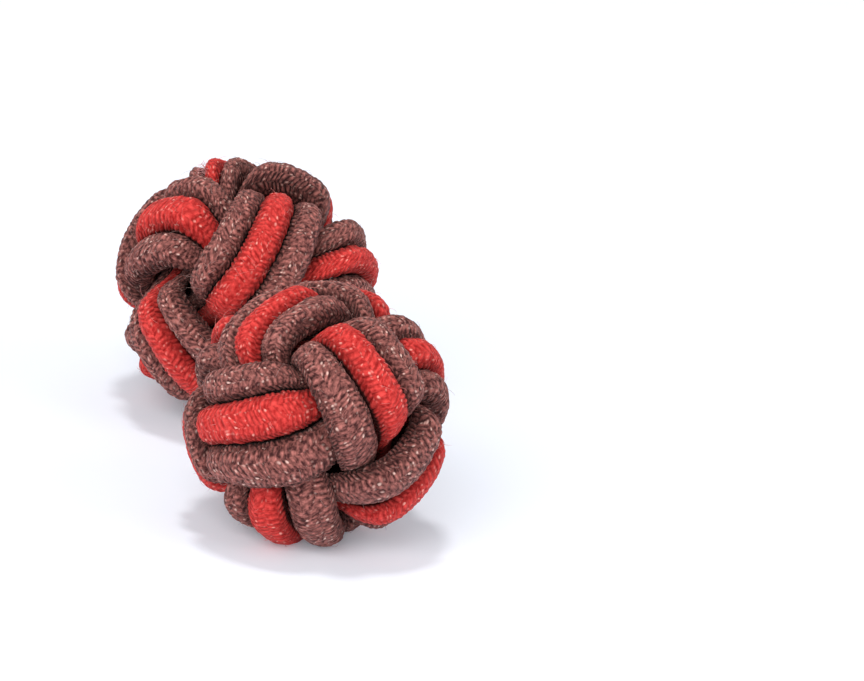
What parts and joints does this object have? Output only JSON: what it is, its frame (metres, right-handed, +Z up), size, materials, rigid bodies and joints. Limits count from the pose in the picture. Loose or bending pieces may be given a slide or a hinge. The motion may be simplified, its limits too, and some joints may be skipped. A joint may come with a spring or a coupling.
{
  "type": "silk-knot cufflink",
  "caption": "Silk-knot cufflink: two woven balls of brown and red braided cord joined by a short elastic link that passes through the buttonholes of a shirt cuff.",
  "frame": {"origin": "on the surface that the cufflink lies on, under the middle of its box", "axes": "+Y along the link from the front knot to the rear knot, +Z up as it lies"},
  "size_m": [0.0124, 0.028, 0.012],
  "materials": {
    "red_cord": "braided, with a satin sheen",
    "brown_cord": "braided, with a satin sheen",
    "link_cord": "braided elastic"
  },
  "bodies": {
    "root": {"front_red_1": "red_cord", "front_red_2": "red_cord", "front_red_3": "red_cord", "front_red_4": "red_cord", "front_brown_left_1": "brown_cord", "front_brown_left_2": "brown_cord", "front_brown_left_3": "brown_cord", "front_brown_left_4": "brown_cord", "front_brown_right_1": "brown_cord", "front_brown_right_2": "brown_cord", "front_brown_right_3": "brown_cord", "front_brown_right_4": "brown_cord", "rear_red_1": "red_cord", "rear_red_2": "red_cord", "rear_red_3": "red_cord", "rear_red_4": "red_cord", "rear_brown_left_1": "brown_cord", "rear_brown_left_2": "brown_cord", "rear_brown_left_3": "brown_cord", "rear_brown_left_4": "brown_cord", "rear_brown_right_1": "brown_cord", "rear_brown_right_2": "brown_cord", "rear_brown_right_3": "brown_cord", "rear_brown_right_4": "brown_cord", "link": "link_cord"}
  },
  "joints": []
}
